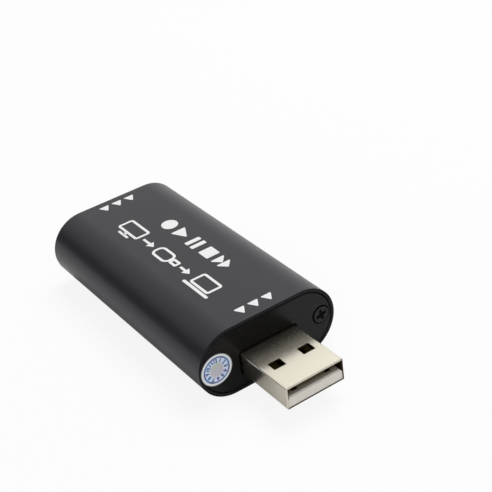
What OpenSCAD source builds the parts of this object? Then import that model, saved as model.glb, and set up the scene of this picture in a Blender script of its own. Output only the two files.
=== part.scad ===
// Video capture box: a flat metal sleeve with a computer plug at one end and a
// video socket at the other. Millimetres, +Z up, +X towards the plug's tip.
// The origin is the middle of the footprint, on the surface the box lies on.
// Left is the -Y side, as seen when facing the plug.

/* [Sleeve] */
// Length of the sleeve
body_l = 53.3; // [48:0.1:70]
// Width over the rounded sides
body_w = 29; // [27.5:0.1:36]
// Height over the flat faces
body_h = 13.8; // [12.6:0.1:18]
// Wall of the sleeve
wall = 0.65; // [0.6:0.05:0.9]
// Bevel on the sleeve's end edges
rim_bevel = 0.05; // [0.05:0.05:0.3]
// Outer radius of a screw boss
boss_r = 1.9; // [1.5:0.1:2.2]
// Height of the web between a boss and the side wall
web_h = 2.4; // [1.6:0.1:3]
// How far a rail reaches over the board's edge
rail_grip = 0.9; // [0.5:0.1:1.4]
// Thickness of a rail above the board
rail_t = 0.8; // [0.5:0.1:1.2]

/* [End plates] */
// Thickness of an end plate
plate_t = 1.5; // [1.2:0.1:2]
// Bevel on a plate's outer edge
plate_bevel = 0.06; // [0.04:0.02:0.2]
// Gap around a plate in the sleeve's mouth
plate_gap = 0.2; // [0.1:0.02:0.3]
// Gap around the plug in its slot
slot_gap = 0.3; // [0.1:0.05:0.4]
// Gap around the socket's lip in its opening
lip_gap = 0.15; // [0.1:0.05:0.4]

/* [Screws] */
// Diameter of the thread
screw_d = 2; // [1.6:0.1:2.4]
// Length from the head's flat to the tip
screw_l = 6; // [4:0.5:8]
// Pitch of the thread
thread_pitch = 0.4; // [0.3:0.05:0.5]
// Depth of the thread
thread_depth = 0.2; // [0.1:0.02:0.25]
// Diameter of the countersunk head
head_d = 3.2; // [2.8:0.1:3.6]
// Straight land round the top of the head
head_land = 0.15; // [0.05:0.05:0.25]
// How far the head lies below the plate's face
head_sink = 0.05; // [0.05:0.05:0.3]
// Gap around the thread
screw_gap = 0.05; // [0.03:0.01:0.1]
// Gap around the head in its countersink
sink_gap = 0.28; // [0.22:0.02:0.4]
// How far a countersink lies off its screw, towards the middle of the box
sink_in = 0.15; // [0:0.05:0.15]
// How far a countersink lies off its screw, upwards
sink_up = 0.15; // [0:0.05:0.15]
// Flat of the plate left beside a countersink
screw_margin = 0.16; // [0.03:0.01:0.5]
// Tip to tip length of the cross recess
cross_l = 2.4; // [1.6:0.1:2.6]
// Width of an arm of the cross recess
cross_w = 0.65; // [0.3:0.05:0.75]
// Diameter of the round middle of the cross recess
cross_core = 1.2; // [0.8:0.1:1.5]
// Depth of the cross recess
cross_depth = 0.75; // [0.4:0.05:1]
// Turn of the left and right output screws' recesses, in degrees
output_turns = [30, 15]; // [0:5:90]
// Turn of the left and right input screws' recesses, in degrees
input_turns = [65, 40]; // [0:5:90]

/* [Seal] */
// Diameter of the paper seal
seal_d = 6.4; // [5:0.1:7]
// Thickness of the seal
seal_t = 0.1; // [0.05:0.05:0.2]
// Distance from the sleeve's side to the seal's centre
seal_inset = 3.5; // [3.5:0.1:5]

/* [Circuit board] */
// Thickness of the board
board_t = 1.2; // [0.8:0.1:1.6]
// Gap between the board's faces and its rails
board_gap = 0.1; // [0.04:0.02:0.2]
// Gap between the board's long edges and the sleeve
board_side_gap = 0.6; // [0.4:0.1:1]
// Gap between the board's ends and the end plates
board_end_gap = 0.3; // [0.1:0.1:0.6]
// Gap around a leg in its slot in the board
leg_gap = 0.15; // [0.1:0.05:0.3]
// How far a leg stands out below the board
leg_past = 0.5; // [0.2:0.1:0.8]
// Width of a leg along the box
leg_w = 1.4; // [1:0.1:1.8]

/* [Plug] */
// Width of the plug's shell
plug_w = 12; // [11.5:0.1:12.5]
// Height of the plug's shell
plug_h = 4.5; // [4.2:0.1:4.8]
// Sheet of the plug's shell
plug_sheet = 0.3; // [0.2:0.05:0.35]
// Length of shell outside the sleeve
plug_out = 13.2; // [11.7:0.1:16]
// Length of shell inside the sleeve
plug_in = 5.8; // [5:0.1:8]
// Outer radius of the shell's long edges
plug_corner = 0.4; // [0.4:0.05:0.9]
// Bevel on the shell's front edge
plug_bevel = 0.12; // [0.05:0.01:0.18]
// Height of the plug's axis above the base
plug_axis_z = 5.5; // [5.2:0.1:6.4]
// Width of the seam under the shell
seam_w = 0.08; // [0.04:0.02:0.2]
// Width of a latch hole across the plug
hole_w = 2.5; // [2:0.1:2.6]
// Length of a latch hole along the plug
hole_l = 2.15; // [1.6:0.05:2.4]
// Distance between the two latch holes' centres
hole_pitch = 6.2; // [5.6:0.1:6.8]
// Distance from the plug's tip to the latch holes
hole_tip = 5.3; // [4.6:0.1:6]
// Corner radius of a latch hole
hole_corner = 0.1; // [0.1:0.05:0.5]
// Thickness of the tongue in the plug
plug_tongue_t = 2.1; // [1.8:0.1:2.3]
// How far the tongue is set back from the plug's tip
plug_tongue_back = 0.1; // [0.05:0.05:0.8]
// Width cut off each upper corner of the tongue
tongue_cut_w = 0.4; // [0.2:0.1:0.8]
// Height cut off each upper corner of the tongue
tongue_cut_h = 0.6; // [0.2:0.1:1]
// Slope on the tongue's upper front edge
tongue_lead = 0.25; // [0.1:0.05:0.4]
// Depth of the plug's cavity
cavity_l = 11.5; // [10:0.1:12]
// Width of a plug contact
contact_w = 1; // [0.7:0.1:1.2]
// Sheet of a plug contact
contact_t = 0.25; // [0.15:0.05:0.35]
// Height of a contact above the tongue
contact_proud = 0.06; // [0.02:0.02:0.12]
// Distance between the two inner contacts
inner_pitch = 2; // [1.8:0.1:2.4]
// Distance between the two outer contacts
outer_pitch = 7; // [6.6:0.1:7.4]
// Set-back of the outer contacts from the plug's tip
outer_back = 1.1; // [1:0.1:2]
// Set-back of the inner contacts from the plug's tip
inner_back = 2.6; // [2.2:0.1:3]
// Length of a contact's foot on the board
foot_l = 0.9; // [0.6:0.1:1.4]
// Gap between a connector's back and the contacts' legs
tail_gap = 0.2; // [0.15:0.05:0.4]
// Gap between an insulator and the metal in it or around it
fit_gap = 0.03; // [0.02:0.01:0.05]

/* [Video socket] */
// Width of the socket's opening
sock_w = 14; // [13.6:0.1:14.4]
// Height of the socket's opening
sock_h = 4.55; // [4.4:0.05:4.8]
// Width of the opening's narrow lower edge
sock_low_w = 10.6; // [9.8:0.1:11.4]
// Height of the opening's cut lower corners
sock_cut_h = 1.7; // [1.4:0.1:2]
// Sheet of the socket's shell
sock_sheet = 0.3; // [0.2:0.05:0.4]
// Length of the socket's shell
sock_l = 11; // [10:0.1:13]
// Reach of the lip around the mouth
sock_lip = 0.5; // [0.3:0.1:0.8]
// Gap between the socket's shell and the board
sock_lift = 0.25; // [0.15:0.05:0.5]
// Distance from the socket's mouth to its first pair of legs
sock_leg_set = 3.7; // [3.2:0.1:4.2]
// Distance between the socket's two pairs of legs
sock_leg_pitch = 4.6; // [3:0.1:5]
// Set-back of the tongue from the socket's mouth
sock_tongue_back = 1.4; // [1:0.1:2]
// Width of the socket's tongue
sock_tongue_w = 11; // [10.4:0.1:11.6]
// Thickness of the socket's tongue
sock_tongue_t = 1.7; // [1.5:0.1:1.9]
// Thickness of the block behind the tongue
sock_block_t = 2.8; // [2:0.1:3.5]
// Contacts on top of the tongue
upper_pins = 10; // [8:1:10]
// Contacts under the tongue
lower_pins = 9; // [7:1:9]
// Distance between the contacts of one row
pin_pitch = 1; // [0.9:0.02:1.04]
// Width of a socket contact
pin_w = 0.36; // [0.26:0.02:0.4]
// Sheet of a socket contact
pin_t = 0.2; // [0.1:0.05:0.25]
// Height of a socket contact above the tongue
pin_proud = 0.06; // [0.02:0.02:0.1]
// Set-back of a socket contact's end from the tongue's front
pin_back = 0.6; // [0.4:0.1:1]

/* [Spring fingers] */
// Width of a finger
finger_w = 2; // [1.6:0.1:2.4]
// Length of a finger
finger_l = 4; // [3:0.1:4.4]
// Distance between the two fingers of one side
finger_pitch = 6; // [5:0.1:6.2]
// Distance from the socket's mouth to a finger's root
finger_set = 1.6; // [1:0.1:2]
// Inward slant of a finger at rest, in degrees
finger_tilt = 7; // [5:0.5:9]
// Radius of the bump on a finger
bump_r = 0.3; // [0.2:0.05:0.4]
// Gap around a finger in its window
window_gap = 0.15; // [0.1:0.05:0.3]
// Gap behind a finger's root
root_gap = 0.03; // [0.02:0.01:0.05]

/* [Electronics] */
// Side of the capture chip
chip_w = 8; // [6:0.5:9]
// Height of the capture chip
chip_h = 0.9; // [0.7:0.1:1.2]
// Length of the memory chip's body
memory_l = 4.9; // [4.4:0.1:5.4]
// Width of the memory chip's body
memory_w = 3.9; // [3.4:0.1:4.2]
// Height of the memory chip's body
memory_h = 1.5; // [1.2:0.1:1.8]
// Length of the regulator's body
regulator_l = 2.9; // [2.6:0.1:3.2]
// Width of the regulator's body
regulator_w = 1.6; // [1.4:0.1:2]
// Height of the regulator's body
regulator_h = 1.1; // [0.9:0.1:1.4]
// Sheet of the chips' leads
lead_t = 0.15; // [0.1:0.05:0.2]
// Width of a chip's lead
lead_w = 0.35; // [0.2:0.05:0.5]
// Reach of a chip's lead from the body
lead_out = 0.8; // [0.5:0.1:1.2]
// Leads on each side of the memory chip
memory_leads = 4; // [3:1:5]
// Radius of the dimple that marks the capture chip's first corner
mark_r = 0.4; // [0.2:0.1:0.6]
// Depth of that dimple
mark_depth = 0.1; // [0.05:0.05:0.2]
// Length of the crystal's can
crystal_l = 8; // [6:0.5:9]
// Width of the crystal's can
crystal_w = 3.2; // [2.6:0.1:3.6]
// Height of the crystal's can
crystal_h = 2.2; // [1.8:0.1:2.6]
// Corner radius of the crystal's can
crystal_corner = 1.1; // [0.6:0.1:1.2]
// Thickness of the crystal's base
crystal_base_t = 0.4; // [0.2:0.1:0.6]
// Edge of the base outside the can
crystal_base_edge = 0.2; // [0.1:0.1:0.4]
// Side of the power inductor
inductor_w = 4; // [3:0.1:4.6]
// Height of the power inductor
inductor_h = 1.9; // [1.4:0.1:2.4]
// Corner radius of the power inductor
inductor_corner = 0.5; // [0.2:0.1:0.8]
// Length of a small ceramic capacitor
ceramic_l = 1.6; // [1.2:0.1:1.8]
// Width and height of a small ceramic capacitor
ceramic_w = 0.8; // [0.6:0.1:0.9]
// Distance between the capacitors of one row
ceramic_pitch = 1.6; // [1.4:0.1:2]
// Capacitors along each side of the capture chip
ceramic_count = 4; // [2:1:4]
// Length of a chip resistor
resistor_l = 1; // [0.8:0.1:1.2]
// Width of a chip resistor
resistor_w = 0.5; // [0.3:0.05:0.6]
// Height of a chip resistor
resistor_h = 0.35; // [0.2:0.05:0.45]
// Distance between the chip resistors
resistor_pitch = 1; // [0.8:0.1:1.4]
// Chip resistors behind the socket
resistor_count = 12; // [4:1:12]
// Length of the bulk capacitor
bulk_l = 3.2; // [2.8:0.1:3.6]
// Width and height of the bulk capacitor
bulk_w = 1.6; // [1.2:0.1:1.8]
// Length of a surge array
surge_l = 2.5; // [2:0.1:2.8]
// Width of a surge array
surge_w = 1.2; // [0.8:0.1:1.4]
// Height of a surge array
surge_h = 0.5; // [0.4:0.05:0.8]
// Clear space kept around parts on the board
part_gap = 0.8; // [0.6:0.1:1]

/* [Hidden] */
$fn = 48;
eps = 0.01;     // overlap that makes joined solids one
over = 1;       // how far a cut runs past a face

// Places along the box
total_l = body_l + plug_out;
rear_x = -total_l / 2;
front_x = rear_x + body_l;
tip_x = total_l / 2;
seat_rear_x = rear_x + plate_t;
seat_front_x = front_x - plate_t;

// Sleeve
mid_z = body_h / 2;
side_y = body_w / 2 - mid_z;
bore_r = screw_d / 2 + screw_gap;
function inner_half(z) = side_y + sqrt(pow(mid_z - wall, 2) - pow(z - mid_z, 2));

// End plates
plate_w = body_w - 2 * wall - 2 * plate_gap;
plate_h = body_h - 2 * wall - 2 * plate_gap;
sink_r = head_d / 2 + sink_gap;
sink_bore_r = bore_r + norm([sink_in, sink_up]);
sink_y = plate_w / 2 - plate_bevel - screw_margin - sink_r;
sink_z = mid_z + sink_up;
screw_y = sink_y + sink_in;

// Board
board_top = plug_axis_z - plug_h / 2;
board_low = board_top - board_t;
board_half = inner_half(board_low) - board_side_gap;
board_rear_x = seat_rear_x + board_end_gap;
board_front_x = seat_front_x - board_end_gap;
leg_low = max(board_low - leg_past, wall + board_gap);

// Plug
plug_rear_x = front_x - plug_in;
plug_low = plug_axis_z - plug_h / 2;
plug_tongue_top = plug_low + plug_sheet + plug_tongue_t;
plug_tongue_half = plug_w / 2 - plug_sheet - fit_gap;
plug_tongue_x = tip_x - plug_tongue_back;
TONGUE_OUTLINE = [[plug_tongue_half, plug_low], [plug_tongue_half, plug_tongue_top - tongue_cut_h],
                  [plug_tongue_half - tongue_cut_w, plug_tongue_top],
                  [tongue_cut_w - plug_tongue_half, plug_tongue_top],
                  [-plug_tongue_half, plug_tongue_top - tongue_cut_h], [-plug_tongue_half, plug_low]];
contact_low = plug_tongue_top + contact_proud - contact_t;
plug_leg_x = plug_rear_x + leg_w;
CONTACTS = [["plug_contact_power", -outer_pitch / 2, outer_back],
            ["plug_contact_data_minus", -inner_pitch / 2, inner_back],
            ["plug_contact_data_plus", inner_pitch / 2, inner_back],
            ["plug_contact_ground", outer_pitch / 2, outer_back]];

// Socket
sock_z = board_top + sock_lift + sock_sheet + sock_h / 2;
sock_rear_x = rear_x + sock_l;
sock_block_x = sock_rear_x - sock_block_t;
SOCKET_OUTLINE = [[-sock_low_w / 2, -sock_h / 2], [sock_low_w / 2, -sock_h / 2],
                  [sock_w / 2, -sock_h / 2 + sock_cut_h], [sock_w / 2, sock_h / 2],
                  [-sock_w / 2, sock_h / 2], [-sock_w / 2, -sock_h / 2 + sock_cut_h]];
finger_root_x = rear_x + finger_set;
finger_dz = sock_h / 2 + sock_sheet / 2;
FINGERS = [["spring_finger_upper_left", -1, 1], ["spring_finger_upper_right", 1, 1],
           ["spring_finger_lower_left", -1, -1], ["spring_finger_lower_right", 1, -1]];
sock_legs_x = [rear_x + sock_leg_set, rear_x + sock_leg_set + sock_leg_pitch];
lower_leg_x = sock_rear_x + tail_gap + pin_t;
upper_leg_x = lower_leg_x + tail_gap + pin_t;

// Parts on the board, column by column from the socket's feet towards the plug
surge_x = upper_leg_x + foot_l + part_gap + surge_w / 2;
resistor_x = surge_x + surge_w / 2 + part_gap + resistor_l / 2;
supply_x = resistor_x + resistor_l / 2 + part_gap;
crystal_base_w = crystal_w + 2 * crystal_base_edge;
crystal_base_l = crystal_l + 2 * crystal_base_edge;
supply_w = inductor_w + part_gap + crystal_base_l;
inductor_x = supply_x + inductor_w / 2;
inductor_y = (inductor_w - supply_w) / 2;
crystal_x = supply_x + crystal_base_w / 2;
crystal_y = (supply_w - crystal_base_l) / 2;
ceramic_reach = max(chip_w / 2, ceramic_pitch * ceramic_count / 2) + part_gap + ceramic_l;
chip_x = supply_x + max(inductor_w, crystal_base_w) + part_gap + ceramic_reach;
memory_x = chip_x + ceramic_reach + part_gap + memory_l / 2;
column_w = memory_w + regulator_w + bulk_w + 4 * lead_out + 2 * part_gap;
memory_y = (memory_w - column_w) / 2 + lead_out;
regulator_y = memory_y + (memory_w + regulator_w) / 2 + 2 * lead_out + part_gap;
bulk_y = (column_w - bulk_w) / 2;
REGULATOR_LEADS = [[-1, 3], [1, 2]];

// Place of each of n like things in a row, pitch apart and centred
function row(n, pitch) = [for (i = [0 : n - 1]) (i - (n - 1) / 2) * pitch];

// Points of a convex outline moved outwards by t, edge by edge
function grown(p, t) = [for (i = [0 : len(p) - 1])
    let (a = p[(i + len(p) - 1) % len(p)], b = p[i], c = p[(i + 1) % len(p)],
         u = (b - a) / norm(b - a), v = (c - b) / norm(c - b),
         m = [u[1], -u[0]], n = [v[1], -v[0]])
    b + t * (m + n) / (1 + m * n)];

module half_disc(r) {
    intersection() {
        circle(r = r);
        translate([-r, -r]) square([r, 2 * r]);
    }
}

// Rectangle with rounded corners, made of strips and quarter discs that share edges
module rounded_rect(w, h, r) {
    square([w, h - 2 * r], center = true);
    for (s = [-1, 1]) {
        translate([-w / 2 + r, s > 0 ? h / 2 - r : -h / 2]) square([w - 2 * r, r]);
        for (t = [-1, 1])
            translate([t * (w / 2 - r), s * (h / 2 - r)])
                intersection() {
                    circle(r = r);
                    translate([t > 0 ? 0 : -r, s > 0 ? 0 : -r]) square(r);
                }
    }
}

// Bar along X with a flat top and bottom and round sides; bevels of its two ends in turn
module stadium_bar(w, h, x0, x1, bevel0 = 0, bevel1 = 0) {
    r = h / 2;
    reach = [[r - bevel0, x0], [r, x0 + bevel0], [r, x1 - bevel1], [r - bevel1, x1]];
    edge = concat(reach[0] == reach[1] ? [] : [reach[0]], [reach[1], reach[2]],
                  reach[2] == reach[3] ? [] : [reach[3]]);
    half = concat([[0, x0]], edge, [[0, x1]]);
    full = concat([for (p = edge) [p[1], p[0]]],
                  [for (i = [len(edge) - 1 : -1 : 0]) [edge[i][1], -edge[i][0]]]);
    translate([0, 0, mid_z]) {
        for (s = [0, 1]) mirror([0, s, 0])
            translate([0, w / 2 - r, 0]) rotate([0, 90, 0]) rotate_extrude(angle = 180) polygon(half);
        rotate([90, 0, 0]) linear_extrude(w - h, center = true) polygon(full);
    }
}

// Outline in Y and Z carried along X from x0 to x1
module along_x(x0, x1) {
    translate([x0, 0, 0]) rotate([90, 0, 90]) linear_extrude(x1 - x0) children();
}

// Outline in X and Z carried across the box, w wide about y
module across_y(y, w) {
    translate([0, y, 0]) rotate([90, 0, 0]) linear_extrude(w, center = true) children();
}

module block(x0, x1, y0, y1, z0, z1) {
    translate([x0, y0, z0]) cube([x1 - x0, y1 - y0, z1 - z0]);
}

// Sleeve, drawn as one profile with screw bosses and rails for the board
module board_rails() {
    for (s = [0, 1]) mirror([0, s, 0])
        difference() {
            intersection() {
                stadium_bar(body_w - wall, body_h - wall, seat_rear_x, seat_front_x);
                block(rear_x, front_x, board_half - rail_grip, body_w, 0, board_top + board_gap + rail_t);
            }
            block(rear_x, front_x, 0, board_half + board_gap, board_low - board_gap, board_top + board_gap);
        }
}

module screw_bosses() {
    for (s = [-1, 1]) {
        translate([seat_rear_x, s * screw_y, mid_z]) rotate([0, 90, 0])
            cylinder(r = boss_r, h = seat_front_x - seat_rear_x);
        block(seat_rear_x, seat_front_x, min(s * screw_y, s * (body_w - wall) / 2),
              max(s * screw_y, s * (body_w - wall) / 2), mid_z - web_h / 2, mid_z + web_h / 2);
    }
}

module case_sleeve() {
    color("#3a3a3e") difference() {
        union() {
            difference() {
                stadium_bar(body_w, body_h, rear_x, front_x, rim_bevel, rim_bevel);
                stadium_bar(body_w - 2 * wall, body_h - 2 * wall, rear_x - over, front_x + over);
            }
            board_rails();
            screw_bosses();
        }
        for (s = [-1, 1])
            translate([rear_x - over, s * screw_y, mid_z]) rotate([0, 90, 0])
                cylinder(r = bore_r, h = body_l + 2 * over);
    }
}

// Screw, standing with its head's flat at the origin and its tip down
module screw(turn) {
    r = screw_d / 2;
    root = r - thread_depth;
    point = root / 2;
    neck = -head_land - (head_d / 2 - r);
    turns = floor((screw_l + neck) / thread_pitch) - 1;
    color("#26262a") difference() {
        rotate_extrude() polygon(concat(
            [[0, 0], [head_d / 2, 0], [head_d / 2, -head_land], [r, neck]],
            [for (i = [0 : turns - 1], p = [[root, neck - (i + 0.5) * thread_pitch],
                                            [r, neck - (i + 1) * thread_pitch]]) p],
            [[point, -screw_l], [0, -screw_l]]));
        intersection() {
            translate([0, 0, -cross_depth])
                cylinder(r1 = cross_w / 2, r2 = cross_l / 2, h = cross_depth + eps);
            rotate([0, 0, turn]) {
                for (a = [0, 90]) rotate([0, 0, a])
                    cube([cross_l + over, cross_w, 2 * cross_depth + over], center = true);
                cylinder(d = cross_core, h = 2 * cross_depth + over, center = true);
            }
        }
    }
}

module output_screw(s, turn) {
    translate([front_x - head_sink, s * screw_y, mid_z]) rotate([0, 90, 0]) screw(turn);
}

module input_screw(s, turn) {
    translate([rear_x + head_sink, s * screw_y, mid_z]) rotate([0, -90, 0]) screw(turn);
}

// Countersunk clearance hole for a screw, with its mouth at the origin and its axis up
module countersink() {
    flat = -head_sink - head_land;
    rotate_extrude() polygon([[0, over], [sink_r, over], [sink_r, flat],
                              [sink_bore_r, flat - sink_r + sink_bore_r],
                              [sink_bore_r, -plate_t - over], [0, -plate_t - over]]);
}

module output_end_plate() {
    color("#2b2b2e") difference() {
        stadium_bar(plate_w, plate_h, seat_front_x, front_x, 0, plate_bevel);
        along_x(seat_front_x - over, front_x + over) translate([0, plug_axis_z])
            rounded_rect(plug_w + 2 * slot_gap, plug_h + 2 * slot_gap, plug_corner + slot_gap);
        for (s = [-1, 1]) translate([front_x, s * sink_y, sink_z]) rotate([0, 90, 0]) countersink();
    }
}

module input_end_plate() {
    color("#2b2b2e") difference() {
        stadium_bar(plate_w, plate_h, rear_x, seat_rear_x, plate_bevel, 0);
        along_x(rear_x - over, seat_rear_x + over) translate([0, sock_z])
            polygon(grown(SOCKET_OUTLINE, sock_sheet + sock_lip + lip_gap));
        for (s = [-1, 1]) translate([rear_x, s * sink_y, sink_z]) rotate([0, -90, 0]) countersink();
    }
}

// Round paper seal over the left screw, lying on the plate and the sleeve's rim
module seal_sticker() {
    color("#dfe6f4") translate([front_x, seal_inset - body_w / 2, mid_z]) rotate([0, 90, 0])
        cylinder(d = seal_d, h = seal_t);
}

// Slot in the board for a leg of a shell of the given sheet, centred on y
module leg_slot(x, y, sheet) {
    half_l = leg_w / 2 + leg_gap;
    half_w = sheet / 2 + leg_gap;
    block(x - half_l, x + half_l, y - half_w, y + half_w, board_low - over, board_top + over);
}

module circuit_board() {
    color("#1d5a38") difference() {
        block(board_rear_x, board_front_x, -board_half, board_half, board_low, board_top);
        for (s = [-1, 1]) {
            leg_slot(plug_leg_x, s * (plug_w - plug_sheet) / 2, plug_sheet);
            for (x = sock_legs_x) leg_slot(x, s * (sock_w + sock_sheet) / 2, sock_sheet);
        }
    }
}

// Plug
module plug_outline(inset) {
    translate([0, plug_axis_z])
        rounded_rect(plug_w - 2 * inset, plug_h - 2 * inset, plug_corner - inset);
}

module plug_legs() {
    for (s = [0, 1]) mirror([0, s, 0])
        block(plug_leg_x - leg_w / 2, plug_leg_x + leg_w / 2, plug_w / 2 - plug_sheet, plug_w / 2,
              leg_low, plug_axis_z);
}

// Wedge that takes a bevel off an upper front edge at x and z, w wide
module front_bevel(x, z, bevel, w) {
    across_y(0, w + 2 * over)
        polygon([[x - bevel - over, z + over], [x + over, z + over], [x + over, z - bevel - over]]);
}

module plug_shell() {
    color("#d8d4c8") difference() {
        union() {
            along_x(plug_rear_x, tip_x) difference() {
                plug_outline(0);
                plug_outline(plug_sheet);
            }
            plug_legs();
        }
        for (s = [-1, 1])
            translate([tip_x - hole_tip - hole_l / 2, s * hole_pitch / 2, plug_low - over])
                linear_extrude(plug_h + 2 * over) rounded_rect(hole_l, hole_w, hole_corner);
        block(plug_rear_x - over, tip_x + over, -seam_w / 2, seam_w / 2,
              plug_low - over, plug_low + plug_sheet + eps);
        translate([0, 0, plug_axis_z]) {
            for (s = [0, 1]) mirror([0, 0, s]) front_bevel(tip_x, plug_h / 2, plug_bevel, plug_w);
            for (a = [90, -90]) rotate([a, 0, 0]) front_bevel(tip_x, plug_w / 2, plug_bevel, plug_h);
        }
    }
}

module plug_insulator() {
    color("#e4e4e0") difference() {
        intersection() {
            along_x(plug_rear_x, tip_x) plug_outline(plug_sheet + fit_gap);
            union() {
                along_x(plug_rear_x, plug_tongue_x) polygon(TONGUE_OUTLINE);
                block(plug_rear_x, tip_x - cavity_l, -plug_w, plug_w, plug_low, plug_low + plug_h);
            }
        }
        front_bevel(plug_tongue_x, plug_tongue_top, tongue_lead, plug_w);
        for (c = CONTACTS)
            block(plug_rear_x - over, tip_x - c[2] + fit_gap, c[1] - contact_w / 2 - fit_gap,
                  c[1] + contact_w / 2 + fit_gap, contact_low - fit_gap, contact_low + contact_t + fit_gap);
    }
}

// Contact bent from a strip: it runs back along the tongue, down to the board and ends in a foot
module bent_contact(y, w, t, start_x, leg_x, low, foot_dir) {
    across_y(y, w)
        polygon([[start_x, low + t], [leg_x, low + t], [leg_x, board_top + t],
                 [leg_x + foot_dir * foot_l, board_top + t], [leg_x + foot_dir * foot_l, board_top],
                 [leg_x - foot_dir * t, board_top], [leg_x - foot_dir * t, low], [start_x, low]]);
}

module plug_contact(c) {
    color("#c9a227")
        bent_contact(c[1], contact_w, contact_t, tip_x - c[2], plug_rear_x - tail_gap - contact_t,
                     contact_low, -1);
}

// Video socket
module socket_outline(t) {
    translate([0, sock_z]) polygon(grown(SOCKET_OUTLINE, t));
}

module finger_window(s, up) {
    y = s * finger_pitch / 2;
    z = sock_z + up * finger_dz;
    half_w = finger_w / 2 + window_gap;
    block(finger_root_x - sock_sheet / 2 - root_gap, finger_root_x + finger_l + window_gap,
          y - half_w, y + half_w, z - sock_sheet, z + sock_sheet);
}

module socket_shell() {
    color("#cfcfd2") difference() {
        union() {
            along_x(rear_x, sock_rear_x) difference() {
                socket_outline(sock_sheet);
                socket_outline(0);
            }
            along_x(rear_x, rear_x + sock_sheet) difference() {
                socket_outline(sock_sheet + sock_lip);
                socket_outline(0);
            }
            for (s = [0, 1], x = sock_legs_x) mirror([0, s, 0])
                block(x - leg_w / 2, x + leg_w / 2, sock_w / 2, sock_w / 2 + sock_sheet,
                      leg_low, sock_z + sock_h / 2);
        }
        for (f = FINGERS) finger_window(f[1], f[2]);
    }
}

// Underside of a contact strip on one face of the tongue: up is 1 on top and -1 underneath
function pin_low(up) = sock_z + up * (sock_tongue_t / 2 + pin_proud) - (up > 0 ? pin_t : 0);

module pin_groove(y, up) {
    block(rear_x + sock_tongue_back + pin_back - fit_gap, sock_rear_x + over, y - pin_w / 2 - fit_gap,
          y + pin_w / 2 + fit_gap, pin_low(up) - fit_gap, pin_low(up) + pin_t + fit_gap);
}

module socket_insulator() {
    color("#18181a") difference() {
        union() {
            along_x(sock_block_x, sock_rear_x) socket_outline(-fit_gap);
            block(rear_x + sock_tongue_back, sock_block_x + eps, -sock_tongue_w / 2, sock_tongue_w / 2,
                  sock_z - sock_tongue_t / 2, sock_z + sock_tongue_t / 2);
        }
        for (y = row(upper_pins, pin_pitch)) pin_groove(y, 1);
        for (y = row(lower_pins, pin_pitch)) pin_groove(y, -1);
    }
}

// The upper row's legs stand behind the lower row's, so their feet end in line
module socket_contacts(n, up) {
    color("#d4af37") for (y = row(n, pin_pitch))
        bent_contact(y, pin_w, pin_t, rear_x + sock_tongue_back + pin_back,
                     up > 0 ? upper_leg_x : lower_leg_x, pin_low(up), 1);
}

// Finger, lying back along X from its root with the bump on its inner face
module spring_finger(s, up) {
    color("#d9d9dc") translate([finger_root_x, s * finger_pitch / 2, sock_z + up * finger_dz])
        mirror([0, 0, up > 0 ? 0 : 1]) rotate([0, finger_tilt, 0])
            across_y(0, finger_w) {
                half_disc(sock_sheet / 2);
                translate([0, -sock_sheet / 2]) square([finger_l, sock_sheet]);
                translate([finger_l - 2 * bump_r, -sock_sheet / 2]) rotate(90) half_disc(bump_r);
            }
}

// Electronics
module on_board(x, y, l, w, h, lift = 0) {
    translate([x - l / 2, y - w / 2, board_top + lift]) cube([l, w, h]);
}

module capture_chip() {
    corner = chip_w / 2 - 2 * mark_r;
    color("#1a1a1c") difference() {
        on_board(chip_x, 0, chip_w, chip_w, chip_h);
        translate([chip_x - corner, -corner, board_top + chip_h - mark_depth])
            cylinder(r = mark_r, h = chip_h);
    }
}

// Gull-wing leads along side s of a body, n of them pitch apart: each runs out, down at a knee, and out
// again on the board
module gull_leads(x, y, w, h, n, pitch, s) {
    knee = lead_out / 2;
    high = h / 2;
    for (dx = row(n, pitch)) translate([x + dx, y + s * w / 2, board_top])
        mirror([0, s > 0 ? 0 : 1, 0]) rotate([90, 0, 90]) linear_extrude(lead_w, center = true)
            polygon([[0, high], [knee, high], [knee, lead_t], [lead_out, lead_t], [lead_out, 0],
                     [knee - lead_t, 0], [knee - lead_t, high - lead_t], [0, high - lead_t]]);
}

module memory_chip() {
    color("#1a1a1c") on_board(memory_x, memory_y, memory_l, memory_w, memory_h - lead_t, lead_t);
}

module memory_chip_leads() {
    color("#c8c8c8") for (s = [-1, 1])
        gull_leads(memory_x, memory_y, memory_w, memory_h, memory_leads, memory_l / memory_leads, s);
}

module voltage_regulator() {
    color("#1a1a1c")
        on_board(memory_x, regulator_y, regulator_l, regulator_w, regulator_h - lead_t, lead_t);
}

module regulator_leads() {
    color("#c8c8c8") for (side = REGULATOR_LEADS)
        gull_leads(memory_x, regulator_y, regulator_w, regulator_h, side[1],
                   regulator_l / side[1], side[0]);
}

module crystal_base() {
    color("#2a2a2c")
        on_board(crystal_x, crystal_y, crystal_base_w, crystal_base_l, crystal_base_t);
}

module crystal_can() {
    color("#c4c6c8") translate([crystal_x, crystal_y, board_top + crystal_base_t])
        linear_extrude(crystal_h) rounded_rect(crystal_w, crystal_l, crystal_corner);
}

module power_inductor() {
    color("#4a4a4e") translate([inductor_x, inductor_y, board_top])
        linear_extrude(inductor_h) rounded_rect(inductor_w, inductor_w, inductor_corner);
}

module bulk_capacitor() {
    color("#c08a2c") on_board(memory_x, bulk_y, bulk_l, bulk_w, bulk_w);
}

// Decoupling capacitors in a row along each side of the capture chip
module ceramic_capacitors() {
    color("#b89b74") for (a = [0, 90, 180, 270], y = row(ceramic_count, ceramic_pitch))
        translate([chip_x, 0, board_top]) rotate([0, 0, a])
            translate([ceramic_reach - ceramic_l, y - ceramic_w / 2, 0])
                cube([ceramic_l, ceramic_w, ceramic_w]);
}

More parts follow.
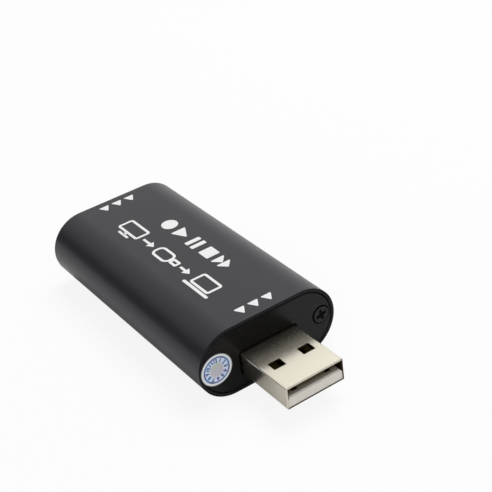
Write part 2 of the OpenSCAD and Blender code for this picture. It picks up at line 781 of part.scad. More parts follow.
// Termination resistors in a row behind the socket
module chip_resistors() {
    color("#202022") for (y = row(resistor_count, resistor_pitch))
        on_board(resistor_x, y, resistor_l, resistor_w, resistor_h);
}

module surge_arrays() {
    color("#222224") for (s = [-1, 1])
        on_board(surge_x, s * (part_gap + surge_l) / 2, surge_w, surge_l, surge_h);
}

case_sleeve();
output_end_plate();
input_end_plate();
output_screw(-1, output_turns[0]);  // output_screw_left
output_screw(1, output_turns[1]);  // output_screw_right
input_screw(-1, input_turns[0]);  // input_screw_left
input_screw(1, input_turns[1]);  // input_screw_right
seal_sticker();
circuit_board();
capture_chip();
memory_chip();
memory_chip_leads();
voltage_regulator();
regulator_leads();
crystal_base();
crystal_can();
power_inductor();
bulk_capacitor();
ceramic_capacitors();
chip_resistors();
surge_arrays();
plug_shell();
plug_insulator();
for (c = CONTACTS) plug_contact(c);
socket_shell();
socket_insulator();
socket_contacts(upper_pins, 1);  // socket_upper_contacts
socket_contacts(lower_pins, -1);  // socket_lower_contacts
for (f = FINGERS) spring_finger(f[1], f[2]);
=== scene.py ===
"""Looks of a video capture box: finishes, white print, the seal's dial and a white studio.

Lengths are in metres, in the frame's axes: +X towards the computer plug's tip, +Z up. The
patterns of the finishes are in millimetres.
"""

import math

import bmesh
import bpy
import numpy as np
from mathutils import Matrix, Vector


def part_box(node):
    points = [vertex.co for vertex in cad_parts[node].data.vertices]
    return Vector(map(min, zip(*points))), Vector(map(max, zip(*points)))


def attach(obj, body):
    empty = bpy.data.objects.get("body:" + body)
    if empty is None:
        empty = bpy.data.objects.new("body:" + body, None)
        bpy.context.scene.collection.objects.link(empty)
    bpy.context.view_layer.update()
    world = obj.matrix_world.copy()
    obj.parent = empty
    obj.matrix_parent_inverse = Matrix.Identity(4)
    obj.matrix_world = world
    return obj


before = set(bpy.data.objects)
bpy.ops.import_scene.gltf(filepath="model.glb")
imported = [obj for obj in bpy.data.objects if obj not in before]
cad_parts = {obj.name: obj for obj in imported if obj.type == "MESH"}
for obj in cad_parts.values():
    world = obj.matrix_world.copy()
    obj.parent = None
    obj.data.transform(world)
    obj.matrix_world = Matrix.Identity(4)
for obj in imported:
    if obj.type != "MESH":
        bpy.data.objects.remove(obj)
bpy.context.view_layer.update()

bl_info = {
    "name": "Video capture box looks",
    "version": (1, 0, 0),
    "blender": (4, 5, 0),
    "location": "View3D > Sidebar > Capture box",
    "description": "Finishes, print, seal and studio of a video capture box",
    "category": "Object",
}

MM = 0.001
HOUSING = "housing"
ARC_STEPS = 16              # points on each rounded corner of a flat shape
NUMBER_STEPS = 3            # points on each curve of a number; with more, bold numbers don't close
MERGE_DISTANCE = 1e-7       # points of a new mesh nearer than this are one point
INK_IOR = 1.45
PLASTIC_IOR = 1.5
MIX_FIRST, MIX_SECOND, MIX_RESULT = 6, 7, 2   # a Mix node's sockets for colours
WHITE = (1.0, 1.0, 1.0)
ALONG_X, ALONG_Y, ALONG_Z = np.eye(3)

SLEEVE_LOW, SLEEVE_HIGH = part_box("case_sleeve")
SEAL_LOW, SEAL_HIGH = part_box("seal_sticker")
SEAL_CENTRE = (SEAL_LOW + SEAL_HIGH) / 2
PLUG_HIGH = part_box("plug_shell")[1]
CORE_LOW, CORE_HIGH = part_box("plug_insulator")


# Properties that a user would change

def length(name, description, millimetres):
    """A length, written in millimetres and kept in metres."""
    return bpy.props.FloatProperty(name=name, description=description, default=millimetres * MM,
                                   min=0.0, unit="LENGTH", precision=5)


def place(name, description, millimetres):
    """A place, written in millimetres and kept in metres."""
    return bpy.props.FloatVectorProperty(name=name, description=description, size=3,
                                         default=[v * MM for v in millimetres],
                                         subtype="TRANSLATION", unit="LENGTH")


def angle(name, description, degrees):
    """An angle, written in degrees and kept in radians."""
    return bpy.props.FloatProperty(name=name, description=description,
                                   default=math.radians(degrees), subtype="ANGLE")


def share(name, description, default, most=1.0):
    """A share of a whole."""
    return bpy.props.FloatProperty(name=name, description=description, default=default,
                                   min=0.0, max=most, subtype="FACTOR")


def power(name, description, watts):
    """The power of a lamp."""
    return bpy.props.FloatProperty(name=name, description=description, default=watts,
                                   min=0.0, unit="POWER")


def linear(code):
    """Linear red, green and blue of a colour written as six hexadecimal digits."""
    levels = [int(code[i:i + 2], 16) / 255 for i in (0, 2, 4)]
    return [v / 12.92 if v <= 0.04045 else ((v + 0.055) / 1.055) ** 2.4 for v in levels]


def colour(name, description, code):
    """A colour, written as it shows on screen."""
    return bpy.props.FloatVectorProperty(name=name, description=description, default=linear(code),
                                         size=3, min=0.0, max=1.0, subtype="COLOR")


class PrintSizes(bpy.types.PropertyGroup):
    """Places and sizes of the white print, measured back from the sleeve's front rim"""
    rise: length("Ink thickness", "How far the ink stands above the sleeve", 0.02)
    stroke: length("Stroke", "Width of the lines of the signal chain's pictures", 0.55)
    chain_back: length("Chain from rim", "From the front rim to the near end of the chain", 10.0)
    chain_length: length("Chain length", "Length of the signal chain", 33.0)
    chain_height: length("Chain height", "Height of the signal chain's pictures", 4.5)
    chain_side: length("Chain offset", "From the middle line to the signal chain, leftwards", 3.3)
    keys_back: length("Keys from rim", "From the front rim to the near end of the keys", 15.5)
    keys_length: length("Keys length", "Length of the row of playback keys", 22.5)
    keys_height: length("Keys height", "Height of the playback keys", 3.3)
    keys_side: length("Keys offset", "From the middle line to the playback keys, rightwards", 3.2)
    label_back: length("Label from rim", "From a rim to the middle of its row of triangles", 2.7)
    label_length: length("Label length", "Length of a row of triangles", 8.6)
    label_height: length("Label height", "Height of a triangle", 2.0)


class SealSizes(bpy.types.PropertyGroup):
    """Radii and sizes of the seal's dial"""
    ring: length("Ring radius", "Radius of the printed ring", 2.5)
    ring_width: length("Ring width", "Width of the printed ring", 0.26)
    numbers: length("Number radius", "Radius of the circle that the numbers stand on", 1.88)
    number_height: length("Number height", "Height of a number", 0.82)
    number_weight: share("Number weight", "How much bolder a number is", 0.05, 0.1)
    centre: length("Centre radius", "Radius of the plain centre", 1.35)
    # painted shade: width of the dark grey band at the seal's rim
    edge: length("Cut edge", "Width of the grey cut edge of the paper", 0.18)
    rise: length("Ink thickness", "How far the ink stands above the paper", 0.01)


class Colours(bpy.types.PropertyGroup):
    """Colours of the finishes, as they show on screen"""
    sleeve: colour("Sleeve", "Black anodised aluminium", "1c1c22")
    plate: colour("End plates", "Black coating of the end plates", "0a0a0b")
    screw: colour("Screws", "Black plating of the screws", "161618")
    print: colour("Print", "White ink on the sleeve", "f2f2f2")
    paper: colour("Seal paper", "Border of the paper seal", "f3f5f8")
    seal_smudge: colour("Seal smudges", "Grey that handling leaves on the paper", "898990")
    seal_band: colour("Seal band", "Pale band that the numbers stand on", "e4edff")
    seal_centre: colour("Seal centre", "Lilac grey of the seal's foil centre", "d0cdd8")
    seal_green: colour("Seal green", "Green that the foil turns in places", "c6d4bf")
    seal_ink: colour("Seal ink", "Blue ink of the seal", "2c4690")
    seal_violet: colour("Seal violet", "Violet that the ink turns in places", "4c46b0")
    seal_teal: colour("Seal teal", "Teal that the ink turns in places", "1f78b4")
    plug_metal: colour("Plug", "Warm nickel of the computer plug", "dcd6c6")
    # painted shade: brown-dark towards the plug's root and inside it; also the colour of its specks
    plug_tarnish: colour("Plug tarnish", "Brown tarnish at the plug's root and inside it", "6b6048")
    plug_plastic: colour("Plug tongue", "White plastic in the computer plug", "e6e2d8")
    # painted shade: olive that the tongue turns deeper inside the plug
    plug_deep: colour("Deep tongue", "Olive that the tongue turns inside the plug", "8c8052")
    gold: colour("Contacts", "Gold plating of the socket's contacts", "d2b060")
    # painted shade: darker, browner gold for the contacts inside the plug
    plug_gold: colour("Plug contacts", "Worn, brown gold of the plug's contacts", "8a6c34")
    socket_metal: colour("Socket", "Nickel of the video socket", "d6d6d8")
    socket_plastic: colour("Socket tongue", "Black plastic in the video socket", "1c1c1e")
    board: colour("Board", "Green coating of the circuit board", "1c5a38")
    copper: colour("Tracks", "Coating over the board's copper tracks", "2f8152")
    chip: colour("Chips", "Black moulding of the chips", "1b1b1d")
    tin: colour("Tin", "Tinned leads and caps", "c9cac8")
    can: colour("Crystal can", "Drawn metal can of the crystal", "c6c8ca")
    ferrite: colour("Inductor", "Grey core of the inductor", "505055")
    ceramic: colour("Ceramic", "Brown body of the ceramic capacitors", "b0906a")
    tantalum: colour("Bulk capacitor", "Yellow moulding of the bulk capacitor", "c8932f")


class Studio(bpy.types.PropertyGroup):
    """Camera, floor and light"""
    eye: place("Camera", "Where the camera stands", (164.15, -87.7, 133.95))
    turn: bpy.props.FloatVectorProperty(
        name="Camera turn",
        description="Bearing, height and tilt of the line from the object to the camera",
        default=[math.radians(a) for a in (59.222, 32.333, -7.826)],
        size=3, subtype="EULER", unit="ROTATION")
    lens: bpy.props.FloatProperty(name="Lens", description="Focal length on a 36 mm sensor",
                                  default=88.58, min=1.0, unit="CAMERA")
    floor_radius: length("Floor radius", "Radius of the floor", 4000.0)
    floor: colour("Floor", "Colour of the floor", "f4f4f4")
    fill: bpy.props.FloatProperty(name="Fill", description="Strength of the light from all round",
                                  default=0.34, min=0.0)
    glow: share("Floor glow", "Share of plain white in the floor as the camera sees it", 0.88)
    mirror_glow: share("Mirrored floor glow", "Share of plain white in the mirrored floor", 0.05)
    key: power("Key", "Power of the lamp overhead", 2.75)
    key_place: place("Key place", "Where the lamp overhead hangs", (-100, 260, 580))
    front: power("Front", "Power of the low lamp in front", 1.1)
    front_place: place("Front place", "Where the low lamp in front stands", (560, -380, 160))
    lamp_size: length("Lamp size", "Side of each lamp", 400.0)
    wall_behind: angle("Wall behind", "Bearing of the dark wall that the left side mirrors", 215)
    wall_front: angle("Wall in front", "Bearing of the dark wall that the front end mirrors", 28)
    top_behind: angle("Top of wall behind", "Height of the upper edge of the wall behind", 25)
    top_front: angle("Top of wall in front", "Height of the upper edge of the wall in front", 47)
    wall_reach: angle("Wall reach", "Half the width of a dark wall", 48)
    wall_soft: angle("Wall softness", "How far a wall's edges fade to either side", 12)
    wall_depth: share("Wall depth", "How dark the walls are", 0.95)


# Shader maths

class Wire:
    """An output socket that operators work on: each expression adds the Math node that gives it."""

    def __init__(self, tree, socket):
        self.tree = tree
        self.socket = socket

    def __add__(self, other):
        return self.tree.math("ADD", self, other)

    def __sub__(self, other):
        return self.tree.math("SUBTRACT", self, other)

    def __rsub__(self, other):
        return self.tree.math("SUBTRACT", other, self)

    def __mul__(self, other):
        return self.tree.math("MULTIPLY", self, other)

    def __gt__(self, other):
        return self.tree.math("GREATER_THAN", self, other)

    def __lt__(self, other):
        return self.tree.math("LESS_THAN", self, other)

    def __abs__(self):
        return self.tree.math("ABSOLUTE", self)

    __radd__ = __add__
    __rmul__ = __mul__


class Tree:
    """A node tree with one way to add a node, and the sums that its users share."""

    def __init__(self, tree):
        self.tree = tree

    def put(self, socket, value):
        """Links a wire to a socket, or sets a number, a colour or a vector on it."""
        if isinstance(value, Wire):
            self.tree.links.new(value.socket, socket)
        elif socket.type == "RGBA":
            socket.default_value = (*value, 1.0)
        else:
            socket.default_value = value

    def node(self, kind, settings=None, sockets=None, out=0):
        """Adds a node: its settings first, then its sockets, and gives one of its outputs."""
        made = self.tree.nodes.new(kind)
        for name, value in (settings or {}).items():
            setattr(made, name, value)
        for name, value in (sockets or {}).items():
            self.put(made.inputs[name], value)
        return Wire(self, made.outputs[out])

    def math(self, operation, *values):
        """A Math node on wires and numbers."""
        return self.node("ShaderNodeMath", {"operation": operation}, dict(enumerate(values)))

    def largest(self, first, second):
        """The larger of two values."""
        return self.math("MAXIMUM", first, second)

    def ease(self, value, start, end):
        """A smooth step from 0 to 1 as value goes from start to end."""
        return self.node("ShaderNodeMapRange", {"interpolation_type": "SMOOTHSTEP"},
                         {"Value": value, "From Min": start, "From Max": end})

    def rays(self):
        """Two wires: 1 for a ray from the camera, and 1 for a ray off gloss or through glass."""
        camera, glossy, through = (self.node("ShaderNodeLightPath", out=name) for name in
                                   ("Is Camera Ray", "Is Glossy Ray", "Is Transmission Ray"))
        return camera, self.largest(glossy, through)


class Finish(Tree):
    """A material in the making: a Principled shader, and the place on the object in millimetres."""

    def __init__(self, name, constants):
        self.material = bpy.data.materials.new(name)
        self.material.use_nodes = True
        super().__init__(self.material.node_tree)
        self.shader = self.tree.nodes["Principled BSDF"]
        on_object = self.node("ShaderNodeTexCoord", out="Object")
        self.place = self.node("ShaderNodeVectorMath", {"operation": "SCALE"},
                               {0: on_object, "Scale": 1 / MM})
        for socket, value in constants.items():
            self.feed(socket, value)

    def feed(self, socket, value):
        """Links a wire to one of the shader's sockets, or sets a number or a colour on it."""
        self.put(self.shader.inputs[socket], value)

    def axis(self, name):
        """One coordinate of the place on the object, in millimetres."""
        return self.node("ShaderNodeSeparateXYZ", None, {0: self.place}, out=name)

    def noise(self, size, along=1.0, detail=3.0):
        """Cloudy noise from 0 to 1 with blotches of about size millimetres, drawn out along X."""
        squeeze = (1 / (size * along), 1 / size, 1 / size)
        where = self.node("ShaderNodeVectorMath", {"operation": "MULTIPLY"},
                          {0: self.place, 1: squeeze})
        return self.node("ShaderNodeTexNoise", None,
                         {"Vector": where, "Scale": 1.0, "Detail": detail})

    def mix(self, amount, first, second):
        """The first colour where amount is 0, the second where it is 1."""
        return self.node("ShaderNodeMix", {"data_type": "RGBA"},
                         {0: amount, MIX_FIRST: first, MIX_SECOND: second}, out=MIX_RESULT)

    def end_depth(self):
        """How far a point lies inside the nearer end of the sleeve, in millimetres."""
        middle = (SLEEVE_HIGH.x + SLEEVE_LOW.x) / 2 / MM
        half = (SLEEVE_HIGH.x - SLEEVE_LOW.x) / 2 / MM
        return half - abs(self.axis("X") - middle)

    def bump(self, height, depth):
        """Raises the surface by height, from 0 to 1, times depth in millimetres."""
        normal = self.node("ShaderNodeBump", None,
                           {"Strength": 1.0, "Distance": depth * MM, "Height": height})
        self.feed("Normal", normal)

    def rolled(self, depth):
        """Raises rolling lines along X and dents, depth millimetres deep, and gives the lines."""
        lines = self.noise(0.12, along=25.0, detail=2.0)
        self.bump(lines * 0.6 + self.noise(0.5) * 0.4, depth)
        return lines


def shade(tone, factor):
    """A colour made lighter or darker by a factor."""
    return [min(1.0, c * factor) for c in tone]


def dress(material, *names):
    """Gives the CAD nodes of these names one material."""
    for name in names:
        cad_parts[name].active_material = material


# Finishes

def anodised(colours):
    """Blasted and anodised: fine grain, draw lines along X, rub marks, and sawn ends that are
    duller and darkened by painted shade.
    """
    f = Finish("anodised black", {"IOR": 1.32, "Specular Tint": (0.96, 0.96, 1.0),
                                  "Coat Roughness": 0.2, "Coat IOR": 1.45})
    clouds = f.noise(7.0)
    draw_lines = f.noise(0.35, along=60.0, detail=2.0)
    rubs = f.ease(f.noise(0.9, along=9.0, detail=4.0), 0.7, 0.8)
    # painted shade: the sawn ends are darker, as well as duller and without coat
    sawn_and_shaded = f.ease(f.end_depth(), 0.12, 0.06)
    tone = colours.sleeve
    skin = f.mix(clouds * 0.7 + rubs * 0.5, shade(tone, 0.86), shade(tone, 1.18))
    f.feed("Base Color", f.mix(sawn_and_shaded, skin, shade(tone, 0.4)))
    f.feed("Roughness", 0.36 + clouds * 0.05 + draw_lines * 0.06 - rubs * 0.05 + sawn_and_shaded * 0.25)
    f.feed("Coat Weight", (1 - sawn_and_shaded) * (0.28 + clouds * 0.06))
    f.bump(f.noise(0.09) * 0.8 + draw_lines * 0.2, 0.004)
    return f.material


def coated(colours):
    """Thin black coating, dimpled as a sprayed and baked layer is, with painted shade in its holes.
    """
    f = Finish("plate black", {"IOR": 1.3})
    clouds = f.noise(4.0)
    # painted shade: near black and rougher inside the plate's holes
    hole_shade = f.ease(f.end_depth(), 0.01, 0.05)
    face = f.mix(clouds, shade(colours.plate, 0.8), shade(colours.plate, 1.25))
    f.feed("Base Color", f.mix(hole_shade, face, shade(colours.plate, 0.4)))
    f.feed("Roughness", 0.25 + clouds * 0.07 + hole_shade * 0.4)
    f.bump(f.noise(0.14), 0.003)
    return f.material


def black_plated(colours):
    """Black plating on steel: half metallic, greyer where a driver rubs, painted shade in the
    cross.
    """
    sunk = (SLEEVE_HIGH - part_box("output_screw_right")[1]).x / MM
    f = Finish("screw black", {"Metallic": 0.5})
    rubs = f.ease(f.noise(0.5), 0.5, 0.75)
    # painted shade: near black inside the screw's cross
    cross_shade = f.ease(f.end_depth(), sunk + 0.02, sunk + 0.08)
    face = f.mix(rubs, shade(colours.screw, 0.8), shade(colours.screw, 1.7))
    f.feed("Base Color", f.mix(cross_shade, face, shade(colours.screw, 0.1)))
    f.feed("Roughness", 0.42 - rubs * 0.1 + cross_shade * 0.4)
    f.bump(f.noise(0.12), 0.004)
    return f.material


def seal_paper(colours, sizes):
    """Coated paper: a foil centre, a pale band, a border and painted shade as a dark grey band at
    its rim.

    They are told apart by the distance from the seal's middle.
    """
    f = Finish("seal paper", {"IOR": 1.4})
    across = f.axis("Y") - SEAL_CENTRE.y / MM
    up = f.axis("Z") - SEAL_CENTRE.z / MM
    radius = f.math("SQRT", across * across + up * up)
    rim = (SEAL_HIGH.y - SEAL_LOW.y) / 2 / MM
    centre, ring, edge = sizes.centre / MM, sizes.ring / MM, sizes.edge / MM
    band = f.ease(radius, centre - 0.15, centre + 0.15)
    border = f.ease(radius, ring - 0.05, ring + 0.05)
    # painted shade: a dark grey band at the paper's rim
    edge_shade = f.ease(radius, rim - edge, rim - edge / 3)
    fibres = f.noise(0.25)
    smudge = (fibres - 0.5) * 0.3
    foil = f.mix(f.ease(up + f.noise(0.8), 0.5, 2.0), colours.seal_centre, colours.seal_green)
    paper = f.mix(border, f.mix(band, foil, colours.seal_band), colours.paper)
    handled = f.mix(0.06 + smudge * 0.12, paper, colours.seal_smudge)
    f.feed("Base Color", f.mix(edge_shade, handled, shade(colours.paper, 0.12)))
    f.feed("Roughness", 0.4 + fibres * 0.15)
    f.bump(fibres, 0.004)
    return f.material


def ink(name, tone):
    """Screen-printed ink: even, a little rough, thinner in small specks."""
    f = Finish(name, {"IOR": INK_IOR})
    specks = f.noise(0.12)
    f.feed("Base Color", f.mix(f.ease(specks, 0.55, 0.85), tone, shade(tone, 0.86)))
    f.feed("Roughness", 0.45 + specks * 0.15)
    f.bump(specks, 0.003)
    return f.material


def seal_ink(colours):
    """Foil ink: blue that turns violet and teal in patches as wide as a few numbers."""
    f = Finish("seal ink", {"IOR": INK_IOR})
    patches = f.noise(1.6, detail=1.0)
    teal = f.mix(f.ease(patches, 0.55, 0.62), colours.seal_ink, colours.seal_teal)
    f.feed("Base Color", f.mix(f.ease(patches, 0.42, 0.35), teal, colours.seal_violet))
    f.feed("Roughness", 0.4 + f.noise(0.12) * 0.15)
    return f.material


def nickel(name, tone, rough):
    """Nickel-plated strip: rolling lines along X, cloudy handling marks and small dark pits."""
    f = Finish(name, {"Metallic": 1.0})
    rolling = f.rolled(0.0015)
    clouds = f.noise(2.2)
    pits = f.ease(f.noise(0.3, detail=1.0), 0.74, 0.8)
    f.feed("Base Color", f.mix(clouds * 0.5 + pits * 0.6, tone, shade(tone, 0.8)))
    f.feed("Roughness", rough + rolling * 0.06 + clouds * 0.08 + pits * 0.15)
    return f.material


def plug_nickel(colours):
    """Warm nickel: specks, painted shade towards the root and inside, and a scuffed front edge.

    The inside is what lies nearer to the plug's axis than its outer skin. The cut front edge
    has painted shade at the right and underneath.
    """
    f = Finish("plug nickel", {})
    middle = (CORE_LOW + CORE_HIGH) / 2 / MM
    high = PLUG_HIGH / MM - middle
    tip = PLUG_HIGH.x / MM
    root = SLEEVE_HIGH.x / MM
    x = f.axis("X")
    y = f.axis("Y") - middle.y
    z = f.axis("Z") - middle.z
    rolling = f.rolled(0.0008)
    clouds = f.noise(2.2)
    # painted shade: browner and darker towards the plug's root
    painted_root_shade = f.ease(x + clouds * 2, root + 6, root + 1)
    specks = f.ease(f.noise(0.3, detail=2.0) + painted_root_shade * 0.04, 0.68, 0.78)
    inside_y = f.ease(abs(y), high.y - 0.1, high.y - 0.2)
    inside_z = f.ease(abs(z), high.z - 0.1, high.z - 0.2)
    cut = f.ease(x, tip - 0.05, tip - 0.02)
    at_right = f.ease(y, high.y - 0.4, high.y - 0.3)
    underneath = f.ease(z, 0.4 - high.z, 0.3 - high.z)
    # painted shade: darker inside the shell, and on the cut front edge at the right and underneath
    inside_and_edge_shade = f.largest(inside_y * inside_z * (1 - cut), cut * f.largest(at_right, underneath))
    scuffed = f.ease(x, tip - 0.16, tip - 0.1) * (1 - inside_and_edge_shade)
    skin = f.mix(clouds * 0.35, colours.plug_metal, shade(colours.plug_metal, 0.85))
    stained_and_shaded = f.mix(f.largest(specks * 0.4, painted_root_shade * 0.5), skin, colours.plug_tarnish)
    f.feed("Base Color", f.mix(inside_and_edge_shade, stained_and_shaded, shade(colours.plug_tarnish, 0.6)))
    f.feed("Metallic", 1 - scuffed * 0.6)
    speck_and_root_roughness = specks * 0.08 + painted_root_shade * 0.06
    f.feed("Roughness", 0.17 + rolling * 0.04 + clouds * 0.05 + speck_and_root_roughness + inside_and_edge_shade * 0.25 + scuffed * 0.2)
    return f.material


def moulding(name, dark, light, rough):
    """Moulded plastic in the making: a soft sheen and a fine spark-eroded grain.

    Gives the finish, its clouds, and the colour that they turn from dark to light.
    """
    f = Finish(name, {"IOR": PLASTIC_IOR})
    clouds = f.noise(1.5)
    f.feed("Roughness", rough + clouds * 0.1)
    f.bump(f.noise(0.08), 0.004)
    return f, clouds, f.mix(clouds, dark, light)


def moulded(name, tone, rough):
    """Moulded plastic of one tone."""
    f, _, skin = moulding(name, shade(tone, 0.93), shade(tone, 1.04), rough)
    f.feed("Base Color", skin)
    return f.material


def plug_white(colours):
    """White moulding with painted shade: it turns olive inside the plug."""
    tone = colours.plug_plastic
    f, clouds, skin = moulding("plug white", shade(tone, 0.93), tone, 0.4)
    depth = CORE_HIGH.x / MM - f.axis("X")
    # painted shade: the tongue turns olive the deeper it lies inside the plug
    f.feed("Base Color", f.mix(f.ease(depth + clouds * 0.4, 0.3, 1.9), skin, colours.plug_deep))
    return f.material


def plated(name, tone, rough):
    """Plated strip: metal with faint rolling lines and cloudy gloss."""
    f = Finish(name, {"Metallic": 1.0})
    lines = f.noise(0.06, along=20.0, detail=2.0)
    clouds = f.noise(0.8)
    f.feed("Base Color", f.mix(clouds, shade(tone, 0.9), tone))
    f.feed("Roughness", rough + lines * 0.08 + clouds * 0.06)
    f.bump(lines, 0.002)
    return f.material


def board_coating(colours):
    """Green coating over lighter tracks: bands along the board, broken up by blocks of noise."""
    f = Finish("board green", {"IOR": PLASTIC_IOR})
    tracks = f.math("PINGPONG", f.axis("Y"), 0.35) > 0.2
    routed = f.ease(f.noise(5.0, along=1.8, detail=0.0), 0.48, 0.5)
    copper = tracks * routed
    f.feed("Base Color", f.mix(copper, colours.board, colours.copper))
    f.feed("Roughness", 0.3 + f.noise(0.6) * 0.1)
    f.bump(copper * 0.8 + f.noise(0.1) * 0.2, 0.02)
    return f.material


def capped(name, body, tin, cap_mask):
    """Small board part with tinned ends: cap_mask takes the finish and says where the ends are."""
    f = Finish(name, {"IOR": PLASTIC_IOR})
    cap = cap_mask(f)
    grain = f.noise(0.12)
    f.feed("Base Color", f.mix(cap, f.mix(grain, shade(body, 0.85), shade(body, 1.1)), tin))
    f.feed("Roughness", 0.5 - cap * 0.2 + grain * 0.1)
    f.feed("Metallic", cap)
    f.bump(grain, 0.01)
    return f.material


# Printed shapes: flat outlines with a thickness of 1, each as its points and its faces

def rounded_polygon(corners, radius):
    """Outline of a convex polygon, anticlockwise, with round corners.

    Each corner is drawn in by the radius along both of its edges' normals, and an arc about that
    point turns from the normal of the edge before it to the normal of the edge after it.
    """
    points = np.asarray(corners, float)
    edges = np.roll(points, -1, axis=0) - points
    after = np.stack([edges[:, 1], -edges[:, 0]], 1) / np.linalg.norm(edges, axis=1)[:, None]
    before = np.roll(after, 1, axis=0)
    centres = points - radius * (before + after) / (1 + (before * after).sum(1))[:, None]
    start = np.arctan2(before[:, 1], before[:, 0])
    turn = np.mod(np.arctan2(after[:, 1], after[:, 0]) - start, math.tau)
    bearings = start[:, None] + turn[:, None] * np.linspace(0, 1, ARC_STEPS)
    arcs = centres[:, None] + radius * np.stack([np.cos(bearings), np.sin(bearings)], -1)
    return arcs.reshape(-1, 2)


def rectangle(u, v, width, height):
    """Corners of an upright rectangle about a middle point, anticlockwise."""
    signs = np.array([[-1, -1], [1, -1], [1, 1], [-1, 1]])
    return np.array([u, v]) + signs * [width / 2, height / 2]


def wedge(u, v, width, height):
    """Corners of a triangle that points along the row, anticlockwise."""
    signs = np.array([[-1, -1], [1, 0], [-1, 1]])
    return np.array([u, v]) + signs * [width / 2, height / 2]


def disc(radius, u=0.0):
    """Outline of a circle: a square whose corners are rounded by half its side."""
    return rounded_polygon(rectangle(u, 0.0, 2 * radius, 2 * radius), radius)


def walls(rings):
    """Quads between each ring of points and the next. Each ring closes on itself."""
    levels, count = rings.shape[:2]
    here = np.arange(count)
    there = np.roll(here, -1)
    low = (np.arange(levels - 1) * count)[:, None]
    high = low + count
    quads = np.stack([low + here, low + there, high + there, high + here], -1)
    return quads.reshape(-1, 4).tolist()


def raised(outline, level):
    """A flat outline as points of space at one level."""
    return np.column_stack([outline, np.full(len(outline), float(level))])


def patch(outline):
    """A filled shape: the outline carried from level 0 to level 1, with a flat face at each end."""
    rings = np.stack([raised(outline, 0), raised(outline, 1)])
    count = len(outline)
    caps = [list(range(count - 1, -1, -1)), list(range(count, 2 * count))]
    return rings.reshape(-1, 3), walls(rings) + caps


def stamp(corners, radius):
    """A filled polygon with round corners."""
    return patch(rounded_polygon(corners, radius))


def loop(outer, inner):
    """A hollow shape: a square profile carried round between two outlines, closed both ways."""
    profile = ((inner, 0), (outer, 0), (outer, 1), (inner, 1), (inner, 0))
    rings = np.stack([raised(outline, level) for outline, level in profile])
    return rings.reshape(-1, 3), walls(rings)


def hollow_box(u, v, width, height, corner, stroke):
    """A rounded rectangle in outline, whose inner corners are round by a quarter stroke or more."""
    inner_corner = max(corner - stroke, stroke / 4)
    inner = rectangle(u, v, width - 2 * stroke, height - 2 * stroke)
    return loop(rounded_polygon(rectangle(u, v, width, height), corner),
                rounded_polygon(inner, inner_corner))


def number(text, height, room, weight):
    """A number in the built-in typeface, as a flat shape from level 0 to 1 about its own middle.

    It is scaled to its height, and squeezed where it would be wider than its room.
    """
    curve = bpy.data.curves.new(text, "FONT")
    curve.body = text
    curve.offset = weight
    curve.resolution_u = NUMBER_STEPS
    curve.align_x = "CENTER"
    curve.align_y = "CENTER"
    curve.extrude = 0.5
    holder = bpy.data.objects.new(text, curve)
    bpy.context.scene.collection.objects.link(holder)
    depsgraph = bpy.context.evaluated_depsgraph_get()
    mesh = bpy.data.meshes.new_from_object(holder.evaluated_get(depsgraph))
    points = np.empty(len(mesh.vertices) * 3)
    mesh.vertices.foreach_get("co", points)
    faces = [list(face.vertices) for face in mesh.polygons]
    bpy.data.objects.remove(holder)
    bpy.data.meshes.remove(mesh)
    bpy.data.curves.remove(curve)
    points = points.reshape(-1, 3)
    low, high = points.min(0), points.max(0)
    wide, tall, thick = high - low
    scale = height / tall
    points = (points - (low + high) / 2) * [min(scale, room / wide), scale, 1.0]
    return points + ALONG_Z * thick / 2, faces


def set_on(shape, origin, along, up, thickness):
    """Places a flat shape: its first axis runs along, its second up, and its thickness outwards."""
    points, faces = shape
    out = np.cross(along, up) * thickness
    return np.asarray(origin, float) + points @ np.stack([along, up, out]), faces


def on_top(shapes, x, y, rise):
    """Sets flat shapes on the sleeve's top face about a point, with their rows along X."""
    return [set_on(shape, (x, y, SLEEVE_HIGH.z), ALONG_X, ALONG_Y, rise) for shape in shapes]


def joined(shapes):
    """Points and faces of several shapes in one: each counts on from the points before it."""
    starts = np.cumsum([0] + [len(points) for points, _ in shapes])
    faces = [(np.asarray(face) + start).tolist()
             for start, (_, own_faces) in zip(starts, shapes) for face in own_faces]
    return np.concatenate([points for points, _ in shapes]), faces


def piece(name, shapes, material):
    """Makes a printed piece that rides on the housing, its doubles merged and faces outwards."""
    points, faces = joined(shapes)
    mesh = bpy.data.meshes.new(name)
    mesh.from_pydata(points, [], faces)
    work = bmesh.new()
    work.from_mesh(mesh)
    bmesh.ops.remove_doubles(work, verts=work.verts, dist=MERGE_DISTANCE)
    bmesh.ops.recalc_face_normals(work, faces=work.faces)
    work.to_mesh(mesh)
    work.free()
    mesh.materials.append(material)
    made = bpy.data.objects.new(name, mesh)
    bpy.context.scene.collection.objects.link(made)
    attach(made, HOUSING)


# Operators, one for each piece or group of like pieces

